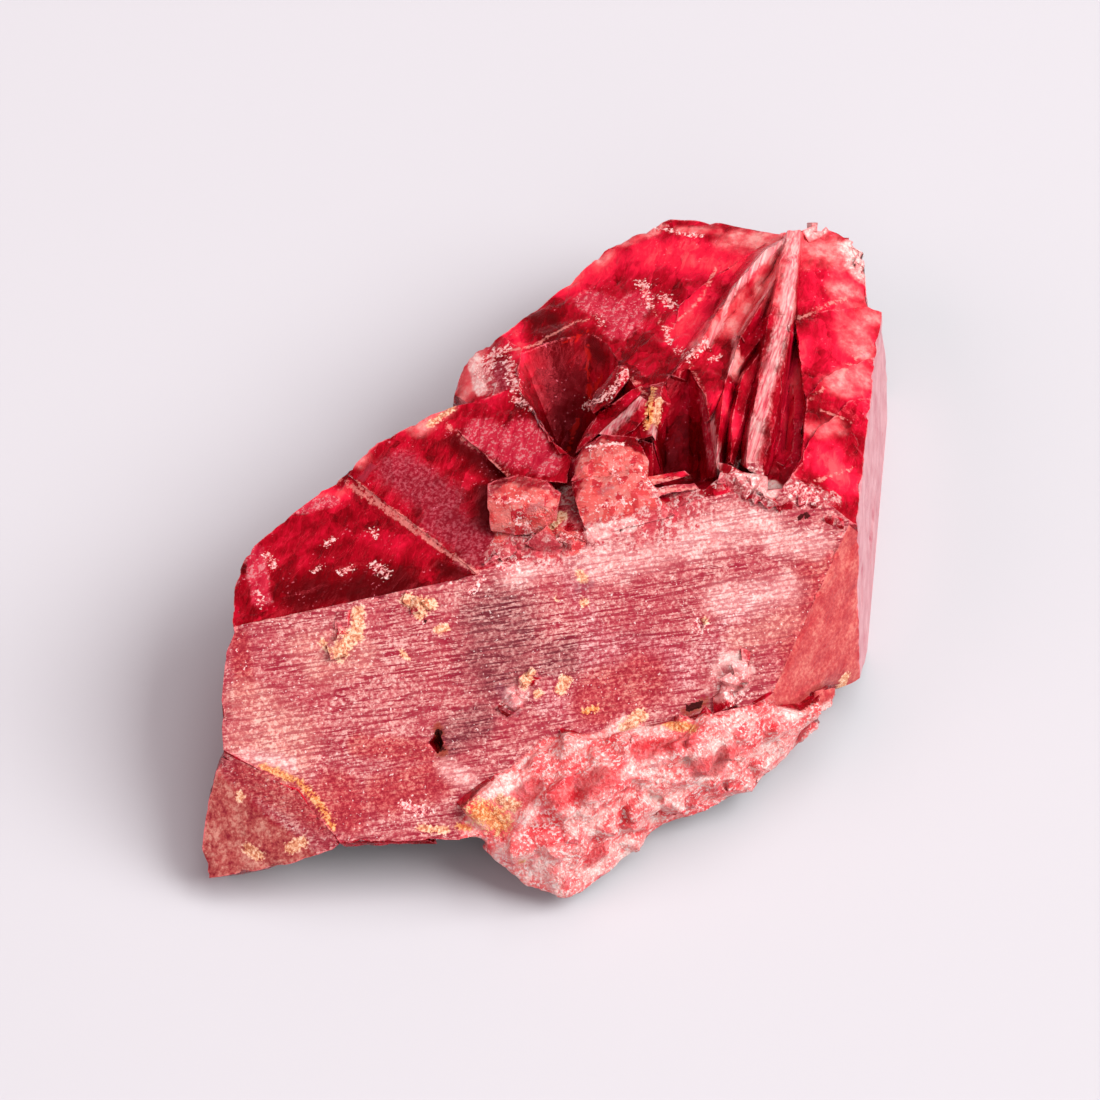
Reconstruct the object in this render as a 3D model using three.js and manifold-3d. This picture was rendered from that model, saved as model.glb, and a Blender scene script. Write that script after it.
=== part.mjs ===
// Rough rhodonite: one broken crystal, about 32 mm long, lying on its flat cleavage face.
// A striated prism face slopes down at the front. Behind it stand clear red cleavage blocks, a fan
// of ribs, a hollow with small crystals in it, and at the front hangs a mass of fused sugary grains.
import * as THREE from "three";
import { ConvexGeometry } from "three/addons/geometries/ConvexGeometry.js";
import { MeshSurfaceSampler } from "three/addons/math/MeshSurfaceSampler.js";
import { mergeVertices } from "three/addons/utils/BufferGeometryUtils.js";
import Module from "manifold-3d";

const wasm = await Module();
wasm.setup();

// ---- driving dimensions, mm ----
const RIDGE_LEFT = 5.6; // height of the crest where the striated face meets the left gem block
const RIDGE_RIGHT = 6.4; // the same crest at its right end
const GRAIN_SMALL = 0.55; // sugary grains of the front mass, across
const GRAIN_LARGE = 1.25;
const GRAIN_SPACING = 0.6; // least distance between two grains
const GRAIN_SINK = 0.22; // how deep a grain's middle lies under the surface that it grew on
const GRAIN_FLATNESS = 0.8; // thickness over width
const GRAIN_TRIES = 300; // places tried on each half of the front mass
const CRUMB_FLATNESS = 0.7;
const CLEAR_ABOVE = 6; // rise of what a step cuts away over the low corner
const BEYOND = 80; // larger than the stone: side of the box that a cut takes away
const TURN = -45; // degrees, lays the longest side along X
const SEED = 20;

// ---- points, planes and solids ----
const corners = (list) => list.map(([x, y, z]) => new THREE.Vector3(x, y, z));

// a flat face through three corners, with its normal up
function face(...three) {
  const plane = new THREE.Plane().setFromCoplanarPoints(...corners(three));
  return plane.normal.z < 0 ? plane.negate() : plane;
}

// an outline in plan, laid on a flat face
function on(plane, outline) {
  const { normal, constant } = plane;
  return outline.map(([x, y]) => {
    const height = -(constant + normal.x * x + normal.y * y) / normal.z;
    return new THREE.Vector3(x, y, height);
  });
}

const raised = (points, rise) => points.map((point) => point.clone().setZ(point.z + rise));
const grounded = (points) => points.map((point) => point.clone().setZ(0));

function solidOf(geometry) {
  geometry.deleteAttribute("normal");
  geometry.deleteAttribute("uv");
  const merged = mergeVertices(geometry);
  const vertProperties = merged.attributes.position.array;
  const triVerts = new Uint32Array(merged.index.array);
  return new wasm.Manifold(new wasm.Mesh({ numProp: 3, vertProperties, triVerts }));
}

const hull = (...groups) => solidOf(new ConvexGeometry(groups.flat()));

// everything on the outer side of a flat face
function beyond(plane) {
  const box = new THREE.BoxGeometry(BEYOND, BEYOND, BEYOND).translate(0, 0, BEYOND / 2);
  const up = new THREE.Vector3(0, 0, 1);
  box.applyQuaternion(new THREE.Quaternion().setFromUnitVectors(up, plane.normal));
  const foot = plane.projectPoint(new THREE.Vector3(0, 0, 3), new THREE.Vector3());
  return solidOf(box.translate(foot.x, foot.y, foot.z));
}

let stone;
function join(solid) {
  stone = stone ? stone.add(solid) : solid;
}
function carve(solid) {
  stone = stone.subtract(solid);
}

// seeded random numbers, so that the stone comes out the same each time
let state = SEED;
function random() {
  state = (state + 0x6d2b79f5) | 0;
  let mixed = Math.imul(state ^ (state >>> 15), 1 | state);
  mixed = (mixed + Math.imul(mixed ^ (mixed >>> 7), 61 | mixed)) ^ mixed;
  return ((mixed ^ (mixed >>> 14)) >>> 0) / 4294967296;
}
const between = (low, high) => low + (high - low) * random();

// one small irregular crystal: a box with uneven corners, turned any way
function grain(middle, size, flatness) {
  const turn = new THREE.Euler(between(0, Math.PI), between(0, Math.PI), between(0, Math.PI));
  const points = [];
  for (const i of [-1, 1]) {
    for (const j of [-1, 1]) {
      for (const k of [-1, 1]) {
        const point = new THREE.Vector3(i, j, k * flatness);
        point.multiplyScalar(size * between(0.3, 0.6)).applyEuler(turn);
        points.push(point.add(middle));
      }
    }
  }
  return hull(points);
}

// a row of small crystals along a line, with a little scatter
function crumbs([start, end], count, low, high) {
  for (let n = 0; n < count; n++) {
    const middle = start.clone().lerp(end, (n + between(0.2, 0.8)) / count);
    middle.y += between(-0.2, 0.4);
    middle.z += between(-0.15, 0.1);
    join(grain(middle, between(low, high), CRUMB_FLATNESS));
  }
}

// ---- flat faces that the blocks are built on ----
const striated = face([-10.25, -4.5, RIDGE_LEFT], [9.85, -0.95, RIDGE_RIGHT], [-6.9, -10.95, 2.6]);
const brokenCorner = face([9.85, -0.95, RIDGE_RIGHT], [6.9, -6.3, 4.15], [10.2, -3.7, 1.7]);
const rightSide = face([10.1, -0.8, 6.3], [11.3, 8.9, 4.3], [10.75, -0.9, 0]);
const leftGem = face([-10.25, -4.5, RIDGE_LEFT], [-2.65, -2.95, 6], [-6.9, 1.85, 5.05]);
const terrace = face([-6.75, 1.75, 5.4], [-2.2, -2.9, 6.15], [-1.45, 1.25, 5.9]);
const crestTop = face([-2.2, -2.9, 6.1], [5.15, -0.2, 6.85], [3.35, 3.35, 6.3]);
const sparkling = face([-3.45, 3.9, 5.45], [-1.35, 0.9, 6.35], [0.75, 1.45, 6.7]);
const paleEdge = face([-1.65, 7.85, 4.9], [-2.8, 6.15, 4.6], [-1.05, 5, 5.75]);
const topFacet = face([-1.5, 7.75, 4.9], [4.35, 12.95, 4.1], [4.35, 5.7, 6.1]);
const ribFoot = face([7.95, 12, 4.7], [5, 6.95, 5.5], [6.15, 1.15, 5.9]);
const valley = face([8.15, 8.4, 4.9], [8.35, 5.65, 5.3], [7.4, 1.2, 6]);
const lobes = [
  face([8.45, 12.25, 4.8], [10.35, 11.15, 4.3], [8.35, 8.5, 5.3]),
  face([8.35, 7.8, 5.7], [11.25, 8.6, 4.7], [8.5, 4.3, 6.2]),
  face([11.15, 6.9, 5.15], [8.5, 3.95, 6.45], [8.25, 1.1, 6.8]),
  face([10.8, 4.75, 5.65], [10.05, -0.85, 6.35], [8.25, 0.8, 7]),
];
const wedgeTop = face([-10.6, -8.35, 3.7], [-6.85, -10.95, 2.5], [-10.95, -11.25, 1.1]);

// ---- the parts that grew together ----
function striatedSlab() {
  join(hull(
    on(striated, [
      [-10.25, -4.5], [-2.65, -2.95], [0.35, -2.2], [2, -8.45], [-2.25, -10.75], [-4.6, -10.75],
      [-6.85, -10.95], [-8.35, -9.45], [-10.6, -8.45], [-10.7, -6.85], [-10.55, -5.3],
    ]),
    corners([
      [-9.6, -2.35, 0], [-9.8, -5.3, 0], [-7, -7, 0], [-2.5, -7.2, 0], [1.5, -7.7, 0], [1.65, 2.05, 0],
      [-8.35, 0.4, 0],
    ]),
  ));
  join(hull(
    on(striated, [
      [-2.65, -2.95], [0.35, -2.05], [2.25, -1.35], [5.15, -0.25], [8, 0.1], [9.85, -0.95], [6.9, -6.3],
      [6.9, -6.9], [1.65, -8.45], [-2, -9.45], [-2.35, -4.8],
    ]),
    on(brokenCorner, [[7.15, -6.45], [8.75, -5.5], [10.15, -3.95], [11.65, -2.1], [11.65, -0.5]]),
    corners([
      [-1.65, -7.3, 0], [3, -7.3, 0], [7.5, -5.1, 0], [9.95, -2.5, 0], [11.35, -0.9, 0],
      [11.35, 2.05, 0], [-1.65, 0.4, 0],
    ]),
  ));
}

function leftBlocks() {
  join(hull(
    on(leftGem, [
      [-10.25, -5.2], [-10.35, -4.45], [-10.35, -2.7], [-10.1, -1.65], [-9.75, -1], [-9.2, -0.5],
      [-8.35, 0.4], [-7.6, 1.35], [-6.9, 1.95], [-6.15, 2.5], [-1, -2.2], [0.35, -4.95], [-8.35, -6.2],
    ]),
    corners([
      [-9.9, -3.6, 0], [-10, -2.4, 0], [-9, -0.3, 0], [-7.2, 2.2, 0], [-5.4, 3.4, 0], [0, 0, 0],
      [-5, -5, 0],
    ]),
  ));
  join(hull(
    on(terrace, [
      [-6.75, 1.75], [-6.45, 2.2], [-5.75, 3], [-4.65, 3.65], [-3.55, 4.4], [-1.65, 4.85], [0.35, 1.5],
      [0.35, -2.4], [-2.2, -2.95],
    ]),
    corners([
      [-7.4, 1.8, 0], [-6.4, 3.4, 0], [-5.2, 4.4, 0], [-3.6, 5.6, 0], [0, 5, 0], [1, 0, 0], [-3, -1, 0],
    ]),
  ));
  // bevel between the two
  join(hull(
    on(terrace, [[-6.65, 1.75], [-5.5, 0.55], [-3.35, -1.7], [-2.2, -2.85]]),
    on(leftGem, [[-7.05, 1.45], [-5.95, 0.3], [-3.65, -1.9], [-2.4, -2.85]]),
    corners([[-5.35, 2.4, 3], [-2.65, -0.05, 3]]),
  ));
  // sparkling block with a broken rim, and the pale block at the edge
  join(hull(
    on(sparkling, [
      [-3.45, 3.9], [-2.65, 4.5], [-1.65, 4.9], [-0.6, 5.1], [0.05, 2.9], [0.75, 1.45], [0.55, 0.35],
      [-0.65, 0.75], [-1.35, 0.9],
    ]),
    corners([[-3.35, 6.65, 1], [-0.5, 7.85, 1], [0.65, 5, 1], [-1.35, 4.2, 1]]),
  ));
  join(hull(
    on(paleEdge, [
      [-3.05, 5.35], [-2.65, 6.4], [-2.35, 7.1], [-1.65, 7.85], [-1, 7], [0.35, 4.4], [-1.65, 3.8],
      [-2.65, 4.9],
    ]),
    corners([[-3.4, 4.9, 0], [-3.1, 6.6, 0], [-1.8, 8.4, 0], [0, 8, 0], [1, 5, 0]]),
  ));
}

function backBlocks() {
  const middleTop = on(crestTop, [
    [-2.2, -2.9], [-1.65, 1.25], [0.35, 2.1], [3, 2.5], [5.15, 1], [7.15, 0.45], [7.15, -3.1],
    [-1.65, -4.85],
  ]);
  join(hull(middleTop, grounded(middleTop)));
  join(hull(
    on(topFacet, [
      [-1.65, 7.9], [-0.35, 9.3], [0.25, 10.1], [1.85, 11.95], [3, 12.55], [4.15, 13.1], [5.15, 13.05],
      [5.9, 12.9], [6.7, 12.45], [7.95, 12.4], [8, 8.65], [5, 2.85], [3, 2.05], [0.35, 1.55],
      [-1.05, 5.05],
    ]),
    corners([
      [-2.2, 7.6, 0], [-0.9, 9.6, 0], [1.4, 12.4, 0], [3.4, 13.6, 0], [5.4, 13.8, 0], [8, 12.8, 0],
      [8, 8, 0], [0, 5, 0],
    ]),
  ));
  const footTop = on(ribFoot, [
    [4.35, 8.85], [7.95, 12.45], [8.45, 12.6], [8.45, 9.2], [7.5, 1.3], [5, 0.65], [3.35, 2.65],
  ]);
  join(hull(footTop, grounded(footTop)));
}

// four stepped facets down the right, and the dark valley between them and the ribs
function rightBlocks() {
  join(hull(
    on(lobes[0], [
      [8, 12.25], [8.45, 12.35], [9.2, 12.45], [9.7, 12.85], [10.3, 12.15], [10.3, 10.9], [10.7, 11.05],
      [10.85, 9.45], [10.35, 8.1], [8, 7.5],
    ]),
    corners([[7.2, 12.4, 0], [8.6, 12.9, 0], [9.9, 12.6, 0], [10.6, 11.6, 0], [11.2, 10, 0], [8, 8, 0]]),
  ));
  const steps = [
    on(lobes[1], [
      [8.3, 7.9], [9.35, 8.75], [10.85, 9.25], [11.65, 8.95], [11.65, 6.8], [10.35, 3.7], [8.5, 4.2],
    ]),
    on(lobes[2], [
      [8.5, 4.05], [8.95, 4.85], [9.5, 5.65], [11.65, 7.3], [11.65, 4.95], [10.35, 1.55], [8.25, 1],
    ]),
    on(lobes[3], [
      [8.25, 0.9], [8.45, 1.8], [8.85, 2.7], [10, 4.25], [11.65, 5.3], [11.65, -0.7], [9.85, -1],
      [8.75, -0.45], [8, -0.55], [7.65, 0.1],
    ]),
    on(valley, [[8, 8.6], [8.35, 8.6], [8.55, 4.75], [8.3, 1.55], [7.65, 0.65], [7, 0.6], [7.5, 4.7]]),
  ];
  for (const top of steps) join(hull(top, grounded(top)));
  carve(hull(corners([
    [8.25, 7.5, 5.6], [8.55, 4.05, 6.4], [8.35, 1.2, 6.9], [7.6, 0.2, 6.9], [7.15, 1.15, 6.5],
    [8, 2.25, 9], [8, -0.6, 9], [8.35, 5.1, 9], [7.85, 2.9, 5.2], [8.05, 4.9, 5.2],
  ])));
}

// the low corner at the front left, and the brown rim right of it, over the notch
function leftWedge() {
  const step = on(wedgeTop, [
    [-11.5, -7.8], [-10.45, -8.5], [-9, -9.1], [-8.25, -9.4], [-7.75, -10.05], [-6.75, -11],
    [-8.35, -13.15], [-13.35, -12.55], [-13.35, -7.6],
  ]);
  carve(hull(step, raised(step, CLEAR_ABOVE)));
  join(hull(
    on(wedgeTop, [
      [-10.7, -8.35], [-8.25, -9.4], [-6.85, -10.95], [-7.05, -11.05], [-8.85, -11.3], [-10.35, -11.3],
      [-11.1, -11.3], [-11.35, -10.6], [-11.1, -9.25],
    ]),
    corners([
      [-10.85, -10.7, 0.3], [-10.15, -10.55, 0], [-8.85, -9.75, 0], [-5, -6.1, 0], [-9.6, -3.65, 0],
      [-10.35, -7.55, 0.3], [-10.7, -6.3, 1.2],
    ]),
  ));
  join(hull(corners([
    [-6.85, -10.9, 2.55], [-4.35, -10.7, 2.6], [-3.65, -10.75, 2.2], [-5, -10.65, 2.2],
    [-6.65, -10.85, 2.2], [-5.65, -9.4, 2.4], [-4, -9.8, 2.4], [-5, -8.75, 1.5],
  ])));
}

function hollows() {
  // deep red hollow behind the sparkling block
  carve(hull(corners([
    [-1, 6.95, 5.2], [-0.15, 7.45, 5.2], [0.35, 7.75, 5.3], [1.4, 8.05, 5.4], [2, 7.3, 5.6],
    [2.4, 6, 6], [3.15, 4.1, 6.5], [1.65, 2.15, 6.8], [0.8, 1.35, 6.8], [0.1, 2.2, 6.5], [0, 3.35, 6.2],
    [-0.5, 3.8, 6.1], [-0.6, 5.15, 5.8], [-1.05, 5.05, 5.7], [-0.65, 5.1, 9], [1.65, 6.3, 9],
    [3.65, 3.9, 9], [0.8, 0.65, 9], [0.35, 4.15, 3.4], [0.9, 4.15, 3.1], [1.15, 4.6, 3.3],
  ])));
  // narrow recess left of the ribs
  carve(hull(corners([
    [3.4, 3.05, 6.4], [3.95, 5.2, 6.1], [4.65, 5.65, 6], [5.2, 4.35, 6], [5.65, 0.8, 6.4],
    [5.05, 0.2, 6.7], [3.35, 0.05, 6.8], [3.95, 3.45, 9], [5, 3.05, 9], [3.35, -0.6, 9], [5.5, -0.6, 9],
    [4.65, 2.6, 4], [3.85, 2.75, 4.2],
  ])));
}

// a fan of ribs that spreads from the back corner: each is a crest with two flanks
function ribs() {
  join(hull(corners([
    [8.25, 11.7, 5.6], [7.35, 10.85, 5.8], [6.5, 9.55, 6], [5.5, 7.65, 6.2], [6.35, 11.4, 4.3],
    [4.85, 8.2, 4.6], [8.15, 11.1, 4.4], [6.5, 8.2, 4.6],
  ])));
  join(hull(corners([
    [5.75, 8.15, 6.2], [5, 6.3, 6.4], [4.05, 5.15, 6.35], [4.65, 7.7, 5], [3.65, 6.05, 5.2],
    [6.15, 7.95, 4.9], [5.5, 5.55, 4.9], [4.5, 5.35, 4.9],
  ])));
  join(hull(corners([
    [7.95, 10.35, 5.7], [7.15, 8.2, 6.3], [6.4, 6.65, 6.5], [7.25, 10.55, 4.8], [6, 8.05, 4.8],
    [7.85, 9.25, 4.8], [7, 6.8, 4.8],
  ])));
  join(hull(corners([
    [6.4, 6.65, 6.5], [5.85, 4.7, 6.7], [5.55, 2.25, 6.7], [5.45, 0.85, 6.5], [6, 7.75, 4.9],
    [5, 5.1, 4.9], [4.95, 1.8, 4.9], [6.85, 7.35, 4.9], [6.5, 5.05, 5], [6.15, 1.45, 5.2],
  ])));
  join(hull(corners([
    [7.15, 6.2, 6.4], [6.4, 4.85, 6.7], [6.05, 3, 6.8], [5.95, 1.25, 6.8], [6.65, 7, 5],
    [5.75, 5.05, 5], [5.55, 2.05, 5.2], [7.35, 5.85, 5], [6.85, 3.3, 5.2], [6.5, 1.5, 5.4],
  ])));
  // the tall pale one, flat along its top, in two lengths
  join(hull(corners([
    [8.1, 11.8, 5.7], [8.55, 11.9, 5.6], [7.85, 9, 6.25], [8.3, 8.95, 6.1], [7.35, 7.25, 6.5],
    [8.1, 7, 6.3], [7.35, 10.6, 4.6], [6.85, 8.2, 4.6], [8.85, 12.75, 4.2], [8.35, 8, 4.6],
  ])));
  join(hull(corners([
    [7.35, 7.6, 6.5], [8.15, 7.75, 6.25], [6.9, 4.35, 6.9], [7.7, 4.2, 6.7], [6.5, 1.55, 7.1],
    [7.05, 1.4, 7], [6.45, 0.8, 7], [7, 0.5, 7], [6.85, 8.2, 4.6], [5.95, 3.1, 4.9], [8.4, 7.8, 4.6],
    [7.5, 2.05, 5.2],
  ])));
}

// blocky crystals on the crest
function crestCrystals() {
  join(hull(corners([
    [-2.05, 0.25, 6.95], [-1.65, 0.4, 7], [-1.05, 0.55, 7.05], [-0.1, 0.2, 7.1], [0.35, -0.25, 7.1],
    [0.25, -0.8, 7.05], [-0.8, -0.7, 7.15], [-2.05, -0.45, 6.95], [-1.95, -1.2, 6.3],
    [-1.15, -1.35, 6.2], [-0.3, -1.25, 6.3], [0.2, -0.9, 6.45], [-1.85, 1.45, 5.5], [0, 1.25, 5.5],
    [-0.35, -0.6, 5.5], [-1.65, -0.6, 5.5],
  ])));
  join(hull(corners([
    [0.8, 1.2, 6.9], [1.15, 1.8, 6.95], [1.75, 2.2, 7], [2.85, 2.15, 6.95], [3.3, 1.15, 6.95],
    [3.2, 0.25, 7], [2.4, 1.25, 7.2], [1.4, 1, 7.2], [0.7, 0.4, 6.9], [1.65, 3.2, 5], [3, 2.6, 5],
    [1.65, 1.8, 5],
  ])));
  join(hull(corners([
    [0.7, 0.3, 6.95], [1.35, 0.35, 7.15], [2.15, 0.45, 7.25], [2.35, -0.05, 7.3], [2.3, -1.35, 6.6],
    [1.6, -1.45, 6.4], [1.15, -1.25, 6.5], [0.85, -0.55, 6.9], [1, -0.15, 7.1], [1.35, 1.8, 5],
    [2.05, 1.4, 5], [1.85, -0.6, 5.5], [1, 0.25, 5.5],
  ])));
  join(hull(corners([
    [2.15, 0.5, 7.2], [2.65, 0.7, 7.2], [3.1, 0.55, 7.15], [3.25, -0.15, 7.1], [3.75, -0.3, 6.9],
    [4.15, -0.85, 6.7], [3, -1.15, 6.6], [2.3, -1.35, 6.6], [2.35, -0.05, 7.3], [3, -0.45, 7.2],
    [3, 1.45, 5.5], [3.85, 0.25, 5.5], [2.35, -0.4, 5.5],
  ])));
}

// blades and bars that stand in the hollow and lie across the recess
function blades() {
  join(hull(corners([
    [2.25, 5.6, 6.3], [2.6, 5.65, 6.4], [2.65, 4.9, 6.5], [2.05, 3.85, 6.6], [1.45, 3.45, 6.5],
    [1.25, 4.2, 6.1], [1.8, 4.6, 6.2], [1.65, 4.95, 4], [2.5, 6, 4.5], [2.05, 6.2, 4.5],
  ])));
  join(hull(corners([
    [3, 4.8, 6.3], [3.3, 4.45, 6.4], [2.2, 3.25, 6.4], [1.35, 2.45, 6.4], [0.85, 1.95, 6.3],
    [1.15, 3.05, 6], [1.65, 3.75, 6.2], [2, 4.95, 4], [3, 5.6, 4.5], [1.35, 3.55, 4.5],
  ])));
  join(hull(corners([
    [1.65, 2.35, 6.85], [2.05, 2.95, 6.75], [3, 4, 6.7], [3.25, 3.7, 6.8], [3.25, 3.05, 6.9],
    [2.8, 2.4, 7], [2.35, 2.15, 6.95], [1.65, 3.45, 5], [3, 5.05, 5], [3, 3.85, 5],
  ])));
  join(hull(corners([
    [3.35, 4.7, 6.4], [3.8, 4.9, 6.3], [4.05, 3.9, 6.4], [3.8, 3.1, 6.4], [3.5, 2.2, 6.6],
    [3.3, 2.65, 6.7], [3.25, 3.55, 6.9], [3.65, 3.65, 7], [3.5, 5.45, 5], [3.85, 4.65, 5],
    [3.4, 3.65, 5],
  ])));
  join(hull(corners([
    [3.15, 0.55, 6.9], [4.45, 0.9, 6.8], [4.65, 0.7, 6.8], [3.35, 0.2, 6.9], [3.35, 1, 6],
    [4.5, 1.2, 6],
  ])));
  join(hull(corners([
    [3.15, 0.05, 6.95], [4.75, 0.4, 6.8], [4.9, 0.15, 6.8], [3.25, -0.3, 6.95], [3.35, 0.6, 6],
    [4.65, 0.75, 6],
  ])));
}

// grains grown over the faces of a hull, but not over those that look back or down
function sugar(points, tries) {
  const skin = new THREE.Mesh(new ConvexGeometry(points));
  const sampler = new MeshSurfaceSampler(skin).setRandomGenerator(random).build();
  const placed = [];
  for (let n = 0; n < tries; n++) {
    const place = new THREE.Vector3();
    const normal = new THREE.Vector3();
    sampler.sample(place, normal);
    const hidden = normal.z < -0.1 || normal.y > 0.7 || place.z < 0.5;
    if (hidden || placed.some((other) => other.distanceTo(place) < GRAIN_SPACING)) continue;
    placed.push(place);
    const sunk = place.clone().addScaledVector(normal, -GRAIN_SINK);
    join(grain(sunk, between(GRAIN_SMALL, GRAIN_LARGE), GRAIN_FLATNESS));
  }
}

function roughMass() {
  const left = corners([
    [-2.25, -9.8, 3], [-1, -8.95, 3.5], [-0.15, -8, 3.8], [2.15, -7.75, 4.1], [-2.2, -10.75, 2.4],
    [-1.55, -11.2, 1.5], [-0.7, -11.7, 0.9], [0.05, -11.7, 0.6], [0.75, -11.8, 0.5], [1.75, -11, 0.7],
    [2.4, -10.2, 0.9], [0.35, -10.25, 3.6], [1.65, -9.8, 4.1], [0.35, -11.35, 2.3], [3, -8.85, 3.9],
    [3.55, -9.5, 0.8], [-1.35, -9.9, 0.2], [0.35, -11, 0], [1.65, -10.25, 0], [3, -8.75, 0],
    [-1, -6.45, 0.5], [3, -5.55, 0.4],
  ]);
  const right = corners([
    [2.15, -7.75, 4.1], [5, -7.1, 4.25], [6.9, -6.5, 4.1], [8.55, -6.25, 2.9], [9.6, -4.9, 1.6],
    [8.25, -6.4, 1], [7.15, -7.3, 1], [6.05, -8.05, 0.9], [5.15, -8.15, 0.8], [4.35, -8.6, 0.8],
    [3.35, -9.65, 0.8], [2.5, -10.2, 0.9], [3, -8.95, 4.1], [5, -8.3, 3.7], [7, -7.1, 2.9],
    [3.35, -8.55, 0], [4.65, -7.5, 0], [7.65, -5.7, 0], [9.15, -3.85, 0], [3, -3.65, 0],
  ]);
  for (const points of [left, right]) {
    join(hull(points));
    sugar(points, GRAIN_TRIES);
  }
}

// loose-looking crumbs that are grown on: at the foot of the ribs, along the crest, on the striated face
function crumbRows() {
  crumbs(corners([[5.75, 0.35, 6.7], [7.15, -0.35, 6.9]]), 9, 0.4, 0.8);
  crumbs(corners([[7.25, -0.35, 6.85], [9.75, -0.8, 6.3]]), 6, 0.3, 0.5);
  crumbs(corners([[-1.95, -2.05, 6.1], [1.65, -1.6, 6.35]]), 9, 0.4, 0.8);
  crumbs(corners([[8.75, 12.4, 4.6], [9.8, 12.65, 4.15]]), 5, 0.35, 0.6);
  crumbs(corners([[10, 12.6, 4], [10.6, 10.8, 4.2]]), 6, 0.35, 0.6);
  crumbs(on(striated, [[-4.75, -3.9], [-3.85, -4.05]]), 4, 0.4, 0.6);
  crumbs(on(striated, [[-6.65, -4.25], [-7, -5.45]]), 5, 0.4, 0.6);
  crumbs(on(striated, [[-1.45, -6.85], [-0.45, -6]]), 5, 0.4, 0.6);
  crumbs(on(striated, [[5.55, -6.5], [6.45, -5.4]]), 6, 0.5, 0.8);
  crumbs(on(striated, [[4.8, -4.1], [5.2, -4.35]]), 2, 0.35, 0.5);
}

// cleavage ledges at the back and chipped edges under it
function back() {
  join(hull(corners([
    [-9.6, -1.6, 2.9], [-8.2, 0.9, 3.1], [-6.4, 2.9, 3], [-4.4, 2, 3.2], [-9.9, -1.8, 0], [-8.8, 1, 0],
    [-6.6, 3.6, 0], [-4, 3, 0],
  ])));
  join(hull(corners([
    [-1.2, 9, 2.4], [0.8, 11.4, 2.2], [2.6, 13.3, 1.9], [5.6, 13.6, 1.8], [5, 11, 2.6], [-1.3, 9.4, 0],
    [0.6, 12, 0], [2.4, 13.8, 0], [5.8, 14.1, 0], [6, 11, 0],
  ])));
  join(hull(corners([
    [5.2, 13.4, 1], [7.2, 13.2, 1.1], [9.2, 12.8, 1.2], [8, 11, 1.4], [5, 13.8, 0], [7.4, 13.6, 0],
    [9.4, 13, 0], [8, 10, 0],
  ])));
  const heart = [
    [-8.5, -5], [-8.6, -1], [-3, 3.8], [0, 8], [4, 11.5], [9.6, 10.6], [10.8, 8.6], [10.2, -1], [8, -5],
    [0, -7], [-5, -7],
  ];
  const foot = heart.map(([x, y]) => [x, y, 0]);
  const waist = heart.map(([x, y]) => [x * 0.95, y * 0.95, 2.2]);
  join(hull(corners(foot), corners(waist)));
  carve(hull(corners([
    [-12, -3, -1], [-12, -3, 1.6], [-9.2, 0.2, -1], [-9.4, 0.6, 1.3], [-8.6, -3.4, -1], [-13, 3, -1],
    [-13, 3, 1.6],
  ])));
  carve(hull(corners([
    [-7.4, 3.8, -1], [-5.2, 5.2, -1], [-7.6, 4.2, 1.2], [-5, 5.6, 1.4], [-5.4, 3.2, -1], [-8, 7, -1],
    [-8, 7, 1],
  ])));
  carve(hull(corners([
    [1.6, 12.2, -1], [3, 15, -1], [-0.6, 9.6, -1], [0.8, 15, 1.2], [-1.2, 10.2, 1.2], [2.6, 14.9, 1.1],
    [-4, 14, -1],
  ])));
  carve(hull(corners([
    [9, 13.8, -1], [11.6, 10.6, -1], [9.4, 14.4, 1.6], [12.4, 10.4, 1.4], [9.4, 10.8, -1], [13, 14, -1],
    [13, 14, 1],
  ])));
}

striatedSlab();
leftBlocks();
backBlocks();
rightBlocks();
carve(beyond(striated));
carve(beyond(rightSide));
leftWedge();
hollows();
ribs();
crestCrystals();
blades();
roughMass();
crumbRows();
back();
// dark pit in the striated face
carve(hull(corners([
  [-3.85, -8.35, 5], [-3.45, -8.35, 5], [-3.45, -9.05, 5], [-3.85, -9.05, 5], [-3.65, -7.5, 3.9],
  [-3.45, -7.85, 3.75], [-3.65, -8.15, 3.6], [-3.9, -7.8, 3.7], [-3.65, -7.5, 3.3],
])));
// the flat cleavage face that it lies on
carve(beyond(face([0, 0, 0], [1, 0, 0], [0, 1, 0]).negate()));

// only what is grown on to the stone stays
const pieces = stone.decompose().sort((one, other) => other.volume() - one.volume());
const { vertProperties, triVerts } = pieces[0].getMesh();
const geometry = new THREE.BufferGeometry();
geometry.setAttribute("position", new THREE.BufferAttribute(vertProperties, 3));
geometry.setIndex(new THREE.BufferAttribute(triVerts, 1));
geometry.computeVertexNormals();

const red = new THREE.MeshStandardMaterial({ color: "#b8243c", roughness: 0.3, metalness: 0 });
const rhodonite = new THREE.Mesh(geometry, red);
rhodonite.name = "rhodonite";
rhodonite.rotation.z = THREE.MathUtils.degToRad(TURN);

const group = new THREE.Group();
group.add(rhodonite);

export default group;
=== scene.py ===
"""Rough rhodonite: a clear red crystal with one satin striated face, lying on a pale table."""
import math
from types import SimpleNamespace

import bmesh
import bpy
import numpy as np
from mathutils import Matrix, Vector, noise
from mathutils.bvhtree import BVHTree
from mathutils.kdtree import KDTree


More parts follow.
